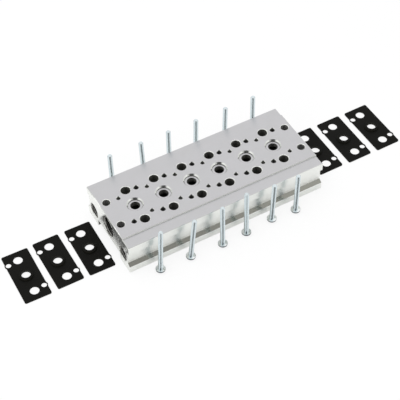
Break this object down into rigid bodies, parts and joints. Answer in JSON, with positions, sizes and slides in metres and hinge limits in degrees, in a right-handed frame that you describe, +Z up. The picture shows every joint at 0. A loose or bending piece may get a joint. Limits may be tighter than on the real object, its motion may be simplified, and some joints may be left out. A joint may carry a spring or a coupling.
{
  "type": "valve manifold",
  "caption": "Drilled aluminium valve manifold block with through galleries and end ports, laid out with its flat gaskets and pan head valve screws.",
  "frame": {"origin": "on the mounting surface, under the middle of the block and its channel", "axes": "+X along the row of stations, +Y to the rear screws, +Z up out of the valve seat"},
  "size_m": [0.2605, 0.0768, 0.0325],
  "materials": {
    "block_aluminium": "satin, as extruded and milled",
    "gasket_rubber": "matt",
    "zinc_plated_steel": "bright zinc plate"
  },
  "bodies": {
    "root": {"manifold_block": "block_aluminium", "gasket_1": "gasket_rubber", "gasket_2": "gasket_rubber", "gasket_3": "gasket_rubber", "gasket_4": "gasket_rubber", "gasket_5": "gasket_rubber", "gasket_6": "gasket_rubber", "screw_front_1": "zinc_plated_steel", "screw_front_2": "zinc_plated_steel", "screw_front_3": "zinc_plated_steel", "screw_front_4": "zinc_plated_steel", "screw_front_5": "zinc_plated_steel", "screw_front_6": "zinc_plated_steel", "screw_rear_1": "zinc_plated_steel", "screw_rear_2": "zinc_plated_steel", "screw_rear_3": "zinc_plated_steel", "screw_rear_4": "zinc_plated_steel", "screw_rear_5": "zinc_plated_steel", "screw_rear_6": "zinc_plated_steel"}
  },
  "joints": []
}
